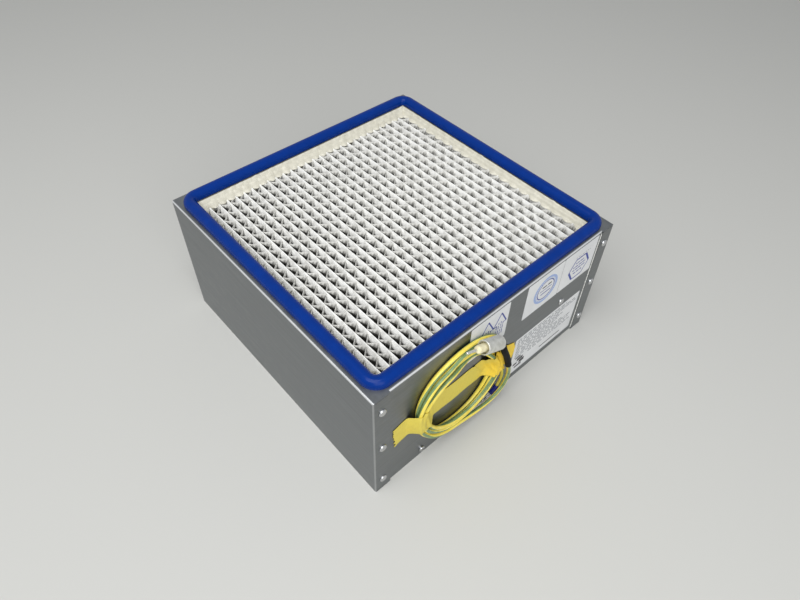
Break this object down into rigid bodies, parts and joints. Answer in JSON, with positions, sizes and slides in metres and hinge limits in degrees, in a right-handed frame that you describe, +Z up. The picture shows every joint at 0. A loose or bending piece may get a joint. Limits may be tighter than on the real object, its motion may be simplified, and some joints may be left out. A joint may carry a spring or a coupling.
{
  "type": "deep-pleat hepa filter panel",
  "caption": "Square deep-pleat cleanroom air filter: folded steel case, potted pleated pack with corrugated separators, poured blue gasket and a coiled earth lead taped to the front.",
  "frame": {"origin": "centre of the foot of the steel case, on the plane of its bottom flanges", "axes": "+Z up through the pack to the gasket side, -Y the front panel that carries the stickers and the earth lead, pleats run along Y"},
  "size_m": [0.305, 0.3239, 0.158],
  "materials": {
    "case_steel": "galvanised sheet, satin",
    "rivet_steel": "plated, satin",
    "screw_brass": "plated, satin",
    "gasket_polyurethane": "poured, smooth, semi-gloss",
    "potting_polyurethane": "poured, smooth",
    "glass_fibre_paper": "matt white wet-laid glass paper",
    "separator_foil": "corrugated, matt white",
    "sticker_film": "printed white film, satin",
    "lead_insulation": "yellow with green stripes",
    "black_sleeve": "shrunk sleeve",
    "plug_shell_metal": "satin",
    "plug_insulator": "moulded",
    "plated_brass": "tin-plated",
    "blue_insulator": "moulded",
    "masking_tape": "creased adhesive tape"
  },
  "bodies": {
    "root": {"side_panel_left": "case_steel", "side_panel_right": "case_steel", "end_panel_front": "case_steel", "end_panel_rear": "case_steel", "rivets_front_left": "rivet_steel", "rivets_front_right": "rivet_steel", "rivets_rear_left": "rivet_steel", "rivets_rear_right": "rivet_steel", "panel_rivet": "rivet_steel", "earth_screw": "screw_brass", "gasket": "gasket_polyurethane", "potting": "potting_polyurethane", "media_pack": "glass_fibre_paper", "separator_01": "separator_foil", "separator_02": "separator_foil", "separator_03": "separator_foil", "separator_04": "separator_foil", "separator_05": "separator_foil", "separator_06": "separator_foil", "separator_07": "separator_foil", "separator_08": "separator_foil", "separator_09": "separator_foil", "separator_10": "separator_foil", "separator_11": "separator_foil", "separator_12": "separator_foil", "separator_13": "separator_foil", "separator_14": "separator_foil", "separator_15": "separator_foil", "separator_16": "separator_foil", "separator_17": "separator_foil", "separator_18": "separator_foil", "separator_19": "separator_foil", "separator_20": "separator_foil", "separator_21": "separator_foil", "separator_22": "separator_foil", "separator_23": "separator_foil", "separator_24": "separator_foil", "separator_25": "separator_foil", "separator_26": "separator_foil", "separator_27": "separator_foil", "separator_28": "separator_foil", "arrow_sticker": "sticker_film", "round_stamp_sticker": "sticker_film", "six_sided_stamp_sticker": "sticker_film", "data_sticker": "sticker_film", "earth_lead_coil": "lead_insulation", "earth_lead_tail": "lead_insulation", "earth_lead_start": "lead_insulation", "lead_sleeve": "black_sleeve", "plug_shell": "plug_shell_metal", "plug_core": "plug_insulator", "plug_pin": "plated_brass", "terminal_tongue": "plated_brass", "terminal_barrel": "blue_insulator", "hold_down_tape": "masking_tape"}
  },
  "joints": []
}
